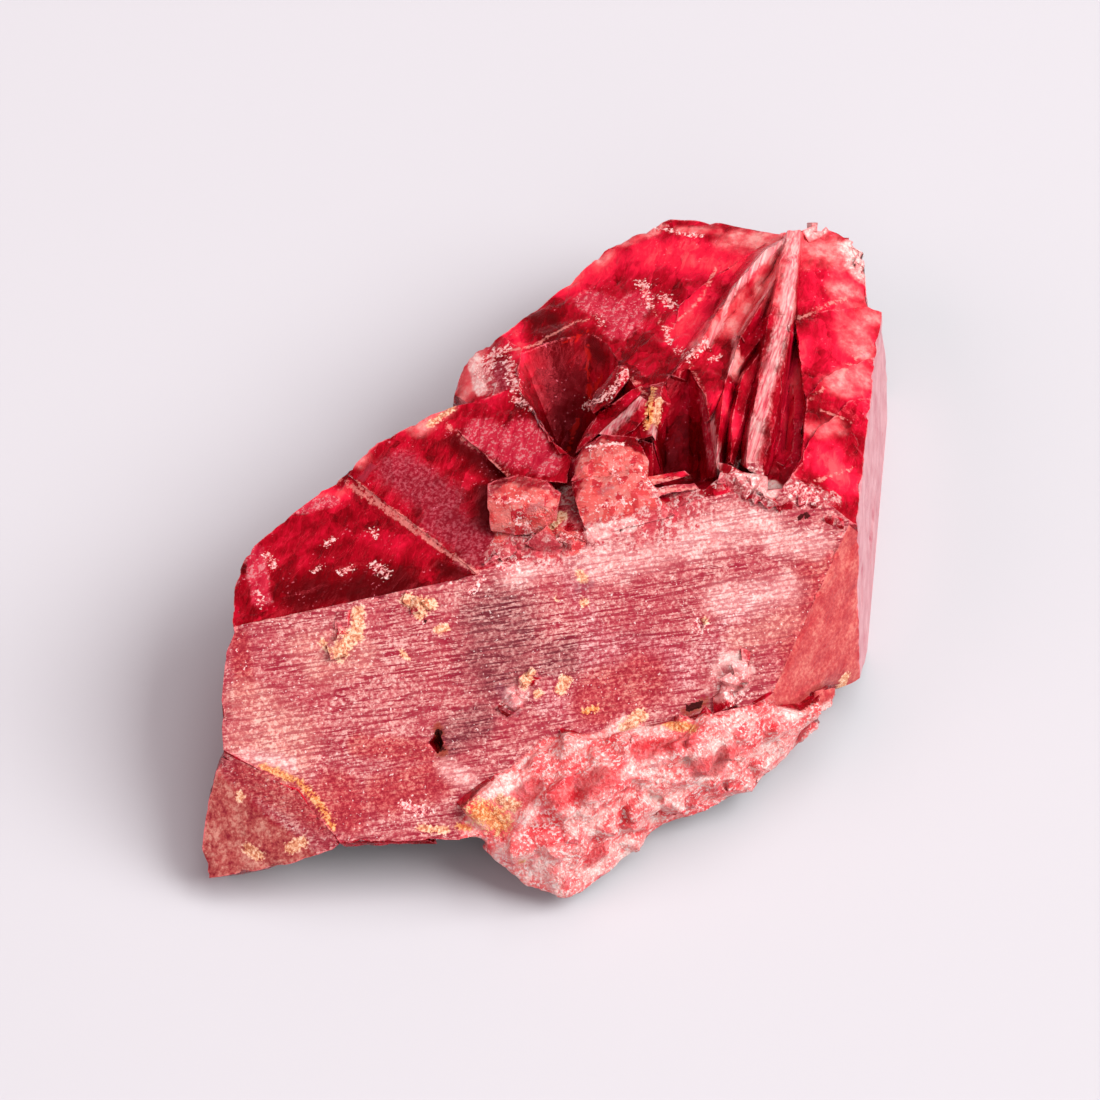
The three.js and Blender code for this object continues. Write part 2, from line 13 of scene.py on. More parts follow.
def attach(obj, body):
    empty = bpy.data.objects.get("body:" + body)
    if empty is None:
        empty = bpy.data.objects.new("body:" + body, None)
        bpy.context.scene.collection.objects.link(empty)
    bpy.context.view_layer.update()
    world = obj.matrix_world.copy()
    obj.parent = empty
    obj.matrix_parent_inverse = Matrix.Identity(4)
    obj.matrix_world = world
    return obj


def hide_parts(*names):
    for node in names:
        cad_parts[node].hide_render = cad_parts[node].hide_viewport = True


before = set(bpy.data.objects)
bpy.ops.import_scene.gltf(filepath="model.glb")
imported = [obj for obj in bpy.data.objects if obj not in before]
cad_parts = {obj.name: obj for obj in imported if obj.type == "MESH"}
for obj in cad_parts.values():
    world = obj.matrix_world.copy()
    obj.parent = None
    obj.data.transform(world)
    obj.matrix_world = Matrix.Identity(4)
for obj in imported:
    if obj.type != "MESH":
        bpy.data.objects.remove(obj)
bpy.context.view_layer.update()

MM = 0.001

# The crystal was drawn on a plan: x to the right, y away from the viewer, z up, in mm.
# The frame has it turned so that its longest side lies along X.
TURN = math.radians(-45)
TO_FRAME = Matrix.Rotation(TURN, 4, "Z") @ Matrix.Scale(MM, 4)
TO_PLAN = TO_FRAME.inverted()

# ---- the crystal's flat faces ----
# Each by three points on the plan, how near in mm a place on it lies, and the least cosine between
# its normal and the place's.
FACES = {
    "striated": (((-10.25, -4.5, 5.6), (9.85, -0.95, 6.4), (-6.9, -10.95, 2.6)), 0.45, 0.86),
    "side": (((10.1, -0.8, 6.3), (11.3, 8.9, 4.3), (10.75, -0.9, 0)), 0.5, 0.8),
    "corner": (((9.85, -0.95, 6.4), (6.9, -6.3, 4.15), (10.2, -3.7, 1.7)), 0.4, 0.86),
    "low_corner": (((-10.6, -8.35, 3.7), (-6.85, -10.95, 2.5), (-10.95, -11.25, 1.1)), 0.4, 0.8),
}
STRIATION_TURN = math.radians(10)  # the striations run along the crest
CLEAVAGE_TURN = math.radians(74)  # the ribs and the streaks in the clear part run this way
SUGAR_TURN = math.radians(28)  # the sugary mass is drawn out along its lower edge

# ---- the view: the marks below are placed on it, and the camera stands where it is seen from ----
VIEW_SIDE = 1100  # the view is a square with so many points across and down
VIEW_CENTRE = (0, 0, 3.5)  # on the plan
VIEW_DISTANCE = 200  # mm
VIEW_ELEVATION = math.radians(55)
VIEW_TURN = math.radians(-135)  # where the viewer stands, on the frame's plan, from +X
LENS, SENSOR = 196.4, 36
MARK_STEP = 3  # points of a mark's line lie so close on the view

# ---- marks on the stone ----
# For each kind its lines: a reach in mm, then points (across, down) on the view.
MARKS = {
    "edge": (
        (0.13, (340, 478), (362, 494), (386, 510), (408, 526), (432, 543), (478, 573)),
        (0.1, (358, 482), (380, 502), (402, 516), (440, 545)),
        (0.1, (640, 281), (650, 303), (660, 322), (668, 338)),
        (0.1, (503, 352), (535, 345), (575, 322), (600, 316)),
        (0.1, (445, 424), (480, 452), (512, 478)),
        (0.1, (650, 481), (690, 477)),
        (0.1, (650, 491), (692, 489)),
        (0.08, (815, 481), (856, 468)),
        (0.08, (668, 328), (700, 300), (716, 270)),
        (0.1, (620, 366), (640, 388), (650, 398)),
        (0.08, (690, 365), (704, 392), (712, 430)),
        (0.08, (820, 410), (850, 420)),
        (0.08, (806, 402), (830, 385), (862, 352)),
        (0.1, (800, 318), (830, 303), (846, 298)),
        (0.13, (500, 296), (540, 266), (575, 246)),
    ),
    "salmon": (
        (0.67, (745, 300), (730, 330)),
        (1.13, (740, 238), (790, 240), (850, 255)),
        (1., (770, 270), (785, 300)),
        (0.87, (845, 290), (870, 320)),
        (0.87, (860, 350), (850, 330)),
        (0.8, (835, 385), (860, 375)),
        (0.6, (815, 430), (835, 425)),
        (0.33, (680, 230), (720, 232)),
        (0.3, (620, 246), (660, 228)),
        (0.4, (600, 262), (612, 252)),
        (0.4, (510, 325), (545, 300)),
        (0.67, (472, 360), (468, 395)),
        (0.53, (450, 405), (420, 428)),
        (0.53, (380, 438), (360, 460)),
        (0.47, (700, 340), (740, 300)),
        (0.4, (756, 300), (770, 262)),
        (0.4, (738, 355), (736, 372)),
        (0.67, (850, 240), (868, 270)),
    ),
    # Frosted flecks and edges, and painted highlights: white glints painted on blades and lumps.
    "frost_and_glints": (
        (0.27, (268, 555), (274, 566)),
        (0.17, (258, 592), (262, 606)),
        (0.23, (341, 572), (350, 568)),
        (0.3, (374, 564), (386, 574)),
        (0.17, (314, 572), (320, 568)),
        (0.2, (370, 530), (376, 535)),
        (0.2, (325, 545), (333, 540)),
        (0.23, (470, 592), (482, 580)),
        (0.47, (485, 372), (492, 356), (503, 350)),
        (0.37, (508, 362), (516, 388)),
        (0.3, (515, 398), (530, 404)),
        (0.3, (588, 405), (606, 396), (626, 372)),
        (0.17, (598, 314), (602, 325)),
        (0.33, (664, 296), (672, 306)),
        (0.23, (650, 305), (645, 292)),
        (0.2, (666, 328), (670, 342)),
        (0.23, (678, 350), (688, 358)),
        (0.3, (694, 352), (706, 344)),
        (0.2, (712, 360), (720, 356)),
        (0.53, (745, 474), (766, 496)),
        (0.3, (738, 462), (735, 484)),
        (0.4, (795, 490), (815, 498)),
        (0.43, (700, 625)),
        (0.6, (722, 676), (742, 668)),
        (0.4, (730, 700), (742, 690)),
        (0.4, (508, 702), (524, 690)),
        (0.3, (402, 804), (426, 812)),
        (0.2, (560, 538), (585, 532)),
        (0.4, (500, 560), (515, 570)),
        (0.3, (640, 283), (645, 288)),
        (0.27, (845, 228), (838, 232)),
        (0.2, (500, 502), (530, 496)),
        (0.17, (515, 520), (535, 530)),
        (0.2, (590, 448), (622, 444)),
        (0.17, (640, 468), (655, 490)),
        (0.2, (598, 508), (630, 500)),
        (0.17, (612, 470), (620, 480)),
        (0.17, (600, 530), (640, 522)),
        (0.17, (645, 226), (700, 236)),
        (0.17, (590, 240), (620, 232)),
    ),
    "rib": (
        (0.47, (796, 232), (792, 270), (788, 305), (779, 340), (768, 380), (759, 420), (751, 455)),
        (0.4, (792, 236), (768, 250), (748, 270), (736, 286)),
        (0.23, (732, 292), (722, 322), (708, 345)),
        (0.23, (776, 272), (766, 292), (750, 316), (736, 338), (730, 372)),
        (0.43, (640, 398), (622, 416), (606, 432)),
        (0.27, (712, 420), (716, 450), (720, 475)),
        (0.27, (650, 425), (655, 438)),
    ),
    "pale": (
        (1.2, (590, 562), (650, 550), (720, 530), (760, 520)),
        (0.73, (510, 575), (560, 560)),
        (0.73, (770, 540), (820, 545)),
        (0.87, (720, 600), (790, 590)),
        (0.53, (445, 770), (470, 780)),
        (0.4, (245, 755), (290, 765)),
    ),
    "buff": (
        (1.07, (245, 700), (300, 735)),
        (0.87, (320, 670), (360, 655)),
        (0.8, (240, 740), (300, 760)),
        (0.67, (300, 645), (345, 640)),
        (0.8, (740, 640), (790, 620)),
    ),
    "dust": (
        (1.13, (400, 470), (440, 500)),
        (1., (440, 520), (480, 545)),
        (0.47, (500, 365), (505, 385)),
        (0.67, (470, 560), (490, 556)),
    ),
    "crimson": (
        (0.87, (480, 432), (520, 455)),
        (0.73, (520, 430), (545, 465)),
        (0.73, (590, 300), (620, 315)),
        (0.73, (620, 330), (640, 300)),
        (0.47, (250, 530), (262, 600)),
        (0.4, (300, 508), (330, 500)),
        (0.53, (705, 400), (712, 460)),
    ),
    "lump": (
        (1.13, (505, 510), (545, 510)),
        (1.13, (600, 460), (635, 470)),
        (1.13, (600, 505), (635, 505)),
        (0.53, (655, 500), (670, 510)),
        (0.53, (575, 540), (545, 548)),
        (0.4, (520, 545), (500, 545)),
    ),
    "crushed": (
        (0.8, (500, 548), (560, 545)),
        (0.67, (575, 520), (565, 500)),
        (0.87, (640, 530), (690, 505)),
        (0.87, (735, 480), (760, 492)),
        (0.47, (790, 488), (830, 500)),
        (0.47, (655, 490), (690, 488)),
        (0.47, (480, 372), (495, 392)),
        (0.47, (585, 535), (625, 525)),
    ),
    "tan": (
        (0.33, (408, 600), (430, 604)),
        (0.27, (420, 614)),
        (0.3, (358, 612), (357, 636)),
        (0.43, (347, 640), (340, 654)),
        (0.17, (324, 642), (328, 650)),
        (0.2, (438, 630), (446, 628)),
        (0.13, (402, 652), (407, 658)),
        (0.23, (580, 574), (584, 580)),
        (0.23, (584, 603)),
        (0.13, (557, 600)),
        (0.27, (530, 672), (524, 684)),
        (0.23, (538, 694)),
        (0.27, (248, 848), (258, 856)),
        (0.27, (290, 848), (302, 842)),
        (0.23, (240, 796)),
        (0.33, (640, 715), (626, 728)),
        (0.27, (660, 400), (656, 420)),
        (0.27, (552, 526), (562, 516)),
        (0.2, (704, 620)),
        (0.3, (845, 678), (838, 694)),
        (0.2, (452, 408), (430, 424)),
        (0.3, (500, 800), (515, 806)),
        (0.17, (420, 828), (446, 830)),
        (0.17, (700, 706)),
        (0.27, (560, 690), (566, 680)),
    ),
    "amber": (
        (0.17, (262, 766), (300, 782), (318, 802), (334, 828)),
        (0.67, (480, 812), (500, 822)),
        (0.2, (652, 388), (648, 428)),
        (0.27, (668, 724), (694, 728)),
        (0.17, (596, 708), (585, 712)),
        (0.2, (522, 862)),
        (0.17, (470, 828), (458, 826)),
    ),
    "black": (
        (0.18, (439, 732), (442, 748)),
        (0.17, (688, 708), (700, 704)),
        (0.13, (800, 517), (808, 515)),
        (0.1, (425, 620)),
    ),
    "rim": (
        (0.3, (438, 728), (443, 752)),
        (0.3, (686, 712), (704, 702)),
    ),
    "smudge": (
        (0.23, (500, 688), (516, 712)),
        (0.2, (528, 510), (542, 503)),
        (0.2, (362, 478), (372, 466)),
        (0.2, (600, 492), (610, 486)),
        (0.23, (578, 588), (590, 584)),
    ),
    # Painted shade: places of the clear stone painted darker, in hollows, under ledges, between lumps
    # and where the stone is thick.
    "deep": (
        (1., (552, 350), (560, 382), (568, 428)),
        (0.47, (592, 345), (600, 358)),
        (1.33, (300, 595), (390, 585)),
        (0.47, (440, 565), (462, 578)),
        (0.67, (455, 440), (500, 480)),
        (0.47, (482, 488), (485, 525)),
        (0.67, (656, 435), (668, 465)),
    ),
    # Painted highlights: orange-red glints in the hollow.
    "painted_fire_glints": (
        (0.17, (588, 345), (588, 395)),
        (0.23, (600, 378), (590, 394)),
        (0.2, (578, 420), (568, 450)),
        (0.13, (590, 330), (560, 345)),
    ),
    "dusk": (
        (1.83, (500, 620), (500, 665)),
        (1., (560, 660), (640, 655)),
        (0.87, (480, 720), (440, 745)),
    ),
    "wine": (
        (1.13, (600, 655), (680, 665)),
        (0.87, (715, 650), (740, 625)),
        (1., (560, 700), (640, 690)),
        (0.67, (560, 745), (620, 730)),
        (0.47, (560, 560), (600, 640)),
    ),
    "rosy": (
        (1., (335, 790), (348, 812)),
        (1., (385, 795), (430, 780)),
        (0.87, (245, 775), (290, 795), (320, 815)),
        (1.33, (640, 680), (600, 700)),
        (1.2, (825, 565), (805, 600), (800, 650)),
        (0.8, (790, 680), (810, 690)),
        (0.53, (360, 745), (425, 752)),
        (0.47, (240, 640), (245, 700)),
    ),
    # Painted light: places of the clear stone painted brighter red, where light shines through thin
    # stone from behind or into a shaded groove.
    "glow": (
        (1.5, (650, 255), (760, 270)),
        (1.33, (700, 300), (680, 330)),
        (1.13, (540, 300), (610, 260)),
        (0.67, (515, 320), (520, 350)),
        (1.67, (845, 290), (850, 400)),
        (1., (820, 450), (840, 480)),
        (0.47, (310, 500), (345, 490)),
        (0.73, (803, 340), (795, 400), (785, 455)),
        (0.8, (505, 305), (540, 295), (575, 275)),
        (0.53, (735, 430), (722, 400)),
    ),
    "veil": (
        (0.87, (722, 680), (735, 670)),
        (0.5, (512, 700), (522, 688)),
        (0.87, (850, 232), (868, 275)),
        (0.53, (838, 225), (800, 228)),
        (0.53, (745, 480), (770, 488)),
        (0.33, (590, 535), (630, 524)),
        (0.33, (470, 350), (482, 392)),
    ),
    "blood": (
        (0.67, (560, 795), (610, 775)),
        (0.53, (700, 772), (735, 755)),
        (0.47, (640, 750), (690, 738)),
        (0.47, (520, 800), (535, 785)),
        (0.4, (590, 860), (600, 850)),
    ),
}
# The sugary front mass lies in front of this line of points (x, y).
SUGAR_EDGE = ((-3, -10.4), (-2.3, -9.5), (-0.2, -7.7), (1.6, -7.5), (2.4, -6.9), (3.3, -7.4),
              (5.2, -7.2), (7, -6.5), (8.2, -6.2), (9.8, -4.6))

SEEN_EDGE = 0.2  # the mesh's longest edge on top
HIDDEN_EDGE = 0.75  # and on the sides and underneath
HALVINGS = 6
SHARP = math.radians(26)

# Pulls on the outline: a place on the plan, a reach, and how far its middle is moved, in mm.
PULLS = (
    ((-2.6, 6.2, 4), 2.4, (-0.3, 0.45, 0)),
    ((4.2, 13, 4), 4.6, (0, 0.3, 0.15)),
    ((10.2, 11.4, 4), 2, (0.1, 0.45, 0)),
    ((3.6, -9.9, 1), 2, (0, 0.45, 0)),
    ((9.2, -5.6, 1), 2.4, (-0.2, 0.6, 0)),
)
SOFTENINGS = 5  # rounds of smoothing that take the cut look off the sugary grains

# ---- relief ----
RESTING = 0.05  # below this height, in mm, the stone keeps the flat face that it lies on
FULL_RELIEF = 0.8  # and from this height on the relief is whole
# Rounded relief and dents: the height in mm, and how many to a mm.
WAVES = ((0.03, 1.3),)
SUGAR_HUMPS = ((0.035, 3.1), (0.05, 1.1))
EDGE_CHIPS = ((0.2, 1.9), (0.1, 5))
CHIP_REACH = 0.3  # mm from a sharp edge
# Flat tilted grains: the height and the size, in mm.
CRUSHED_GRAINS = ((0.07, 0.4), (0.06, 0.9))
LUMP_GRAINS = ((0.1, 0.6),)
CLEAVAGE_STEPS = ((0.05, 1.5),)
SEED = 7  # sets how the flat grains tilt, so that each run gives the same stone

# ---- the stone's patterns ----
# Noise: size in mm, detail, roughness, distortion, and the turn and length that draw it out.
# Real glints, grains and fibres go down to 0.02 mm. Those would not show, so they are drawn coarser.
NOISES = {
    "specks": (0.1, 1, 0.5, 0, 0, 1),  # painted glints
    "grain": (0.12, 2, 0.7, 0, 0, 1),  # the finest sugary grains
    "clouds": (0.7, 2, 0.6, 0, 0, 1),  # milky places
    "depths": (2.2, 1, 0.5, 0, 0, 1),  # slow changes from clear to dense
    "striations": (0.085, 2, 0.65, 0.4, STRIATION_TURN, 14),  # growth lines, 0.1 to 0.2 mm apart
    "streaks": (0.3, 4, 0.75, 0.8, CLEAVAGE_TURN, 2.6),  # small steps of the cleavage
    "fibres": (0.075, 2, 0.5, 0, CLEAVAGE_TURN, 60),  # splinters of the ribs
    "smears": (0.8, 3, 0.65, 0.5, SUGAR_TURN, 2.2),  # red and white parts of the sugary mass
}
# Cells: size in mm, how distance is counted, the noise that bends them and how far in mm, and the
# length that draws them out.
CELLS = {
    "blocks": (0.7, "MANHATTAN", "clouds", 0.8, 2.2),  # cleavage blocks in the clear stone
    "chips": (0.26, "EUCLIDEAN", "grain", 0.3, 1.3),  # flat grains of the lumps and crushed places
}
MESH_MASKS = (
    "striated",
    "side",
    "corner",
    "low_corner",
    "sugar",
    "lump",
    "crushed",
    "worn",
    "glow",
    "deep",
)
MARK_RIM = 0.15  # no mark shows on the outermost part of its reach
EASED = {"interpolation_type": "SMOOTHSTEP"}
RELIEF = 0.08  # mm, of the grooves and small steps that are too fine for the mesh
GRAIN_RELIEF = 2.5  # times that for the grains of the rough places

# ---- finishes of the grown face ----
# Where a mark shows (how broken up, from how low, blur, most), the ground's colours, the colour and
# depth of the grooves, clearness and roughness.
GROUND_STOPS = (0.37, 0.5, 0.66)
GROWN_FINISHES = {
    "all": (None, ("#AC424C", "#C47070", "#E6B4AC"), "#942436", 1, 0.12, 0.42),
    "dusk": ((0.5, 0, 0.6, 0.9), ("#80383F", "#A25E5E", "#CC9A94"), "#56202A", 1, 0.12, 0.4),
    "wine": ((0.5, 0, 0.6, 0.9), ("#B04450", "#CC7A7E", "#F0C2BE"), "#941E34", 0.9, 0.15, 0.4),
    "rosy": ((0.6, 0, 0.6, 0.85), ("#A02230", "#C44448", "#E68E80"), "#8C2030", 0.5, 0.25, 0.35),
    "buff": ((0.6, 0, 0.8, 0.7), ("#BC6460", "#D2867C", "#EEC0B0"), "#A84850", 0.6, 0.1, 0.4),
    "pale": ((0.8, 0, 0.9, 0.8), ("#D88A88", "#ECB2AC", "#FAE0DA"), "#BC6068", 0.6, 0.1, 0.4),
}

# ---- what lies on the stone, and painted glints ----
# Pale colours of frosted crystal dust and of painted glints.
DUST_AND_GLINT_COLOURS = ((0.42, "#E06C74"), (0.54, "#F4A8A4"), (0.66, "#FFEAE4"))
CLAY = ((0.38, "#B4684A"), (0.5, "#DC9C74"), (0.62, "#F4D0B0"))
IRON_OXIDE = ((0.38, "#C06830"), (0.5, "#E49048"), (0.64, "#F8C890"))
# Where a mark shows, its colour or its colours over the grain, clearness and roughness.
CRUSTS = {
    "edge": ((2, 0.15, 0.5, 0.7), "#EE988E", 0.1, 0.4),
    "frost_and_glints": ((3.2, 0.45, 0.35, 0.85), DUST_AND_GLINT_COLOURS, 0.1, 0.35),
    "tan": ((1.6, 0.15, 0.3, 0.9), CLAY, 0, 0.6),
    "amber": ((2, 0.2, 0.4, 0.85), IRON_OXIDE, 0.1, 0.5),
    "rim": ((1.6, 0.3, 0.3, 0.8), "#8C3C28", 0, 0.5),
    "smudge": ((1, 0.1, 0.5, 0.45), "#743A4A", 0, 0.5),
    "black": ((1, 0.25, 0.15, 1), "#1C0E0A", 0, 0.3),
}


def linear(hex_colour):
    """An sRGB hex colour as linear red, green, blue and an alpha of 1."""
    parts = [int(hex_colour[i : i + 2], 16) / 255 for i in (1, 3, 5)]
    return tuple(c / 12.92 if c <= 0.04045 else ((c + 0.055) / 1.055) ** 2.4 for c in parts) + (1,)


def smooth(value, low, high):
    """0 below low, 1 above high, an even S between. Works on numbers and on arrays."""
    x = np.clip((value - low) / (high - low), 0, 1)
    return x * x * (3 - 2 * x)


def plane(points):
    """A face's point and its upward normal."""
    a, b, c = (np.array(p, float) for p in points)
    normal = np.cross(b - a, c - a)
    normal *= np.sign(normal[2]) / np.linalg.norm(normal)
    return a, normal


# ---- the stone's mesh ----
def merged_copy(name):
    """A CAD node's mesh on the plan, with its corners joined and its flat faces made whole."""
    bm = bmesh.new()
    bm.from_mesh(bpy.data.objects[name].data)
    bmesh.ops.remove_doubles(bm, verts=bm.verts, dist=1e-7)
    bmesh.ops.dissolve_limit(bm, angle_limit=math.radians(0.2), verts=bm.verts, edges=bm.edges)
    bmesh.ops.triangulate(bm, faces=bm.faces, quad_method="SHORT_EDGE", ngon_method="BEAUTY")
    bm.transform(TO_PLAN)
    bm.normal_update()
    return bm


def longest_allowed(edge):
    """Fine where the stone is looked at, coarse on the sides and underneath."""
    middle = (edge.verts[0].co + edge.verts[1].co) / 2
    normal = sum((f.normal for f in edge.link_faces), Vector()).normalized()
    seen = smooth(normal.z - 0.5 * normal.y, -0.15, 0.2) * smooth(middle.z, 0, 0.5)
    return HIDDEN_EDGE + (SEEN_EDGE - HIDDEN_EDGE) * seen


def halve(edge):
    """Splits an edge in the middle and joins its new corner to the one across each of its faces."""
    _, middle = bmesh.utils.edge_split(edge, edge.verts[0], 0.5)
    for corner in list(middle.link_loops):
        bmesh.utils.face_split(corner.face, middle, corner.link_loop_next.link_loop_next.vert)


def refine(bm):
    """Halves long edges, the longest first, so that no triangle comes out flat."""
    for _ in range(HALVINGS):
        long = [e for e in bm.edges if e.calc_length() > longest_allowed(e)]
        for edge in sorted(long, key=bmesh.types.BMEdge.calc_length, reverse=True):
            halve(edge)
        bm.normal_update()


def attribute(mesh, name, domain, values):
    mesh.attributes.new(name, "FLOAT", domain).data.foreach_set("value", values.astype(np.float32))


# ---- where each kind of surface is ----
def on_face(face, places, normals):
    """1 near a face and facing as it does, 0 elsewhere."""
    points, reach, least_cosine = face
    start, normal = plane(points)
    near = 1 - smooth(np.abs((places - start) @ normal), reach * 0.7, reach)
    return near * smooth(normals @ normal, least_cosine, least_cosine + 0.06)


def rough_front(places):
    """The sugary front mass: in front of the striated face's broken lower edge."""
    x, y = places[:, 0], places[:, 1]
    edge = np.interp(x, *zip(*SUGAR_EDGE))
    return smooth(edge - y, -0.1, 0.1) * smooth(x, -3.0, -2.7)


def kinds_of_surface(places, normals):
    """For each kind of surface, 1 where the stone has it and 0 elsewhere."""
    kinds = {"sugar": rough_front(places)}
    free = 1 - kinds["sugar"]
    for name, face in FACES.items():
        kinds[name] = on_face(face, places, normals) * free
        if name == "striated":
            free = 1 - np.maximum(kinds["striated"], kinds["sugar"])
    return kinds


def seen_from():
    """The viewer's eye on the plan, with the view's right, up and forward directions."""
    flat, high = math.cos(VIEW_ELEVATION), math.sin(VIEW_ELEVATION)
    forward = Vector((0, flat, -high))
    eye = Vector(VIEW_CENTRE) - forward * VIEW_DISTANCE
    return eye, Vector((1, 0, 0)), Vector((0, high, flat)), forward


def on_stone(tree, across, down):
    """The place on the stone that shows at a point of the view, or None beside the stone."""
    eye, right, up, forward = seen_from()
    reach = SENSOR / LENS / VIEW_SIDE
    middle = VIEW_SIDE / 2
    line = forward + right * (across - middle) * reach + up * (middle - down) * reach
    return tree.ray_cast(eye, line.normalized())[0]


def line_on_stone(tree, points):
    """Places close together along a line drawn on the view through the points."""
    places = [on_stone(tree, *points[0])]
    for start, end in zip(points, points[1:]):
        steps = math.ceil(math.dist(start, end) / MARK_STEP)
        for share in np.linspace(0, 1, steps + 1)[1:]:
            places.append(on_stone(tree, *(np.array(start) * (1 - share) + np.array(end) * share)))
    return [place for place in places if place]


def marks_on_stone(bm):
    """For each kind of mark, 1 on its lines and an even fall to 0 at their reach."""
    surface = BVHTree.FromBMesh(bm)
    corners = KDTree(len(bm.verts))
    for vert in bm.verts:
        corners.insert(vert.co, vert.index)
    corners.balance()
    found = {}
    for name, strokes in MARKS.items():
        found[name] = np.zeros(len(bm.verts))
        for reach, *points in strokes:
            for place in line_on_stone(surface, points):
                for _, index, away in corners.find_range(place, reach):
                    found[name][index] = max(found[name][index], 1 - away / reach)
    return found


def mark_sharp(bm):
    """Keeps the drawn edges crisp: they stay sharp when the mesh is made finer and moved."""
    for edge in bm.edges:
        edge.smooth = edge.calc_face_angle(0) < SHARP
    for face in bm.faces:
        face.smooth = True


def worn_and_highlit_edges(bm):
    """1 on the corners of sharp outward edges, 0 elsewhere: these edges are chipped, and a pale
    highlight is painted along them.
    """
    worn = np.zeros(len(bm.verts))
    for edge in bm.edges:
        if not edge.smooth and edge.is_convex:
            for vert in edge.verts:
                worn[vert.index] = 1
    return worn


# ---- relief ----
def humps(place, layers):
    """Rounded relief."""
    return sum(height * noise.noise(place * per_mm) for height, per_mm in layers)


def hollows(place, layers):
    """Separate dents, with flat places between them."""
    return sum(height * max(0.0, noise.noise(place * per_mm) - 0.1) for height, per_mm in layers)


def grain_relief(place, size):
    """Tilted flat grains, as broken sugary stone has."""
    centre = noise.voronoi(place / size)[1][0]
    tilt = noise.noise_vector(centre * 7.3 + Vector((3.1, 1.7, 9.2)))
    return tilt.dot(place / size - centre) * 1.6 + tilt.x * 0.5


def grains(place, layers):
    return sum(height * grain_relief(place, size) for height, size in layers)


def distance_to(bm, worn):
    """How far each corner of the mesh lies from a worn edge, in mm."""
    chosen = [v.co for v in bm.verts if worn[v.index]]
    tree = KDTree(len(chosen))
    for index, place in enumerate(chosen):
        tree.insert(place, index)
    tree.balance()
    return [tree.find(v.co)[2] for v in bm.verts]


def soften_sugar(bm, sugar):
    """The front mass is of fused grains: no crisp edges, and rounded."""
    for edge in bm.edges:
        if all(sugar[vert.index] > 0.5 for vert in edge.verts):
            edge.smooth = True
    grains = [v for v in bm.verts if sugar[v.index] > 0.5 and v.co.z > 0.2]
    for _ in range(SOFTENINGS):
        bmesh.ops.smooth_vert(
            bm, verts=grains, factor=0.5, use_axis_x=True, use_axis_y=True, use_axis_z=True
        )


def pull_outline(bm):
    for middle, reach, move in PULLS:
        for vert in bm.verts:
            share = 1 - (vert.co - Vector(middle)).length / reach
            if share > 0 and vert.co.z > RESTING:
                vert.co += Vector(move) * float(smooth(share, 0, 1))


def displace(bm, kinds, marks, worn):
    """Moves each corner of the mesh along its normal by its own kind of relief."""
    from_edge = distance_to(bm, worn)
    noise.seed_set(SEED)
    for vert in bm.verts:
        if vert.co.z < RESTING:
            continue
        place = vert.co.copy()
        sugar = kinds["sugar"][vert.index]
        crushed = marks["crushed"][vert.index] * (1 - sugar)
        lump = marks["lump"][vert.index] * (1 - sugar)
        clear = (1 - sugar) * (1 - crushed) * (1 - kinds["striated"][vert.index])
        lift = humps(place, WAVES)
        lift += sugar * humps(place, SUGAR_HUMPS)
        lift += crushed * grains(place, CRUSHED_GRAINS)
        lift += lump * grains(place, LUMP_GRAINS)
        lift += clear * grains(place, CLEAVAGE_STEPS)
        lift -= hollows(place, EDGE_CHIPS) * (1 - float(smooth(from_edge[vert.index], 0, CHIP_REACH)))
        vert.co += vert.normal * lift * float(smooth(place.z, RESTING, FULL_RELIEF))


def rhodonite_crystal():
    bm = merged_copy("rhodonite")
    mark_sharp(bm)
    refine(bm)
    pull_outline(bm)
    bm.verts.ensure_lookup_table()
    bm.verts.index_update()
    worn = worn_and_highlit_edges(bm)
    places = np.array([v.co[:] for v in bm.verts])
    normals = np.array([v.normal[:] for v in bm.verts])
    kinds = kinds_of_surface(places, normals)
    soften_sugar(bm, kinds["sugar"])
    marks = marks_on_stone(bm)
    displace(bm, kinds, marks, worn)
    centres = np.array([f.calc_center_median()[:] for f in bm.faces])
    facing = np.array([f.normal[:] for f in bm.faces])
    kinds = kinds_of_surface(centres, facing)
    bm.transform(TO_FRAME)
    bm.normal_update()
    mesh = bpy.data.meshes.new("rhodonite_crystal")
    bm.to_mesh(mesh)
    bm.free()
    for name, values in kinds.items():
        attribute(mesh, name, "FACE", values)
    for name, values in {**marks, "worn": worn}.items():
        attribute(mesh, name, "POINT", values)
    crystal = bpy.data.objects.new("rhodonite_crystal", mesh)
    bpy.context.scene.collection.objects.link(crystal)
    mesh.materials.append(cleaved_rhodonite())
    return crystal


# ---- materials ----
def add(tree, kind, inputs=(), give=None, stops=(), **settings):
    """Adds a node and gives its named output, or else the first one in use.

    Settings are the node's own properties. Inputs are values or the outputs that feed it, by name
    or in the node's own order. Stops are the places and colours of a colour ramp.
    """
    made = tree.nodes.new("ShaderNode" + kind)
    for name, value in settings.items():
        setattr(made, name, value)
    sockets = [socket for socket in made.inputs if socket.enabled]
    if isinstance(inputs, dict):
        sockets = [made.inputs[name] for name in inputs]
        inputs = inputs.values()
    for socket, value in zip(sockets, inputs):
        if isinstance(value, bpy.types.NodeSocket):
            tree.links.new(value, socket)
        else:
            socket.default_value = value
    if stops:
        elements = made.color_ramp.elements
        for _ in stops[2:]:
            elements.new(0.5)
        for element, (position, colour) in zip(elements, stops):
            element.position = position
            element.color = linear(colour)
    return made.outputs[give] if give else next((o for o in made.outputs if o.enabled), None)


def weighed(tree, terms, start):
    """The sum of some patterns, each times its own weight, from a start."""
    for pattern, weight in terms:
        start = add(tree, "Math", (pattern, weight, start), operation="MULTIPLY_ADD")
    return start


def new_material(name):
    material = bpy.data.materials.new(name)
    material.use_nodes = True
    material.node_tree.nodes.clear()
    return material, material.node_tree


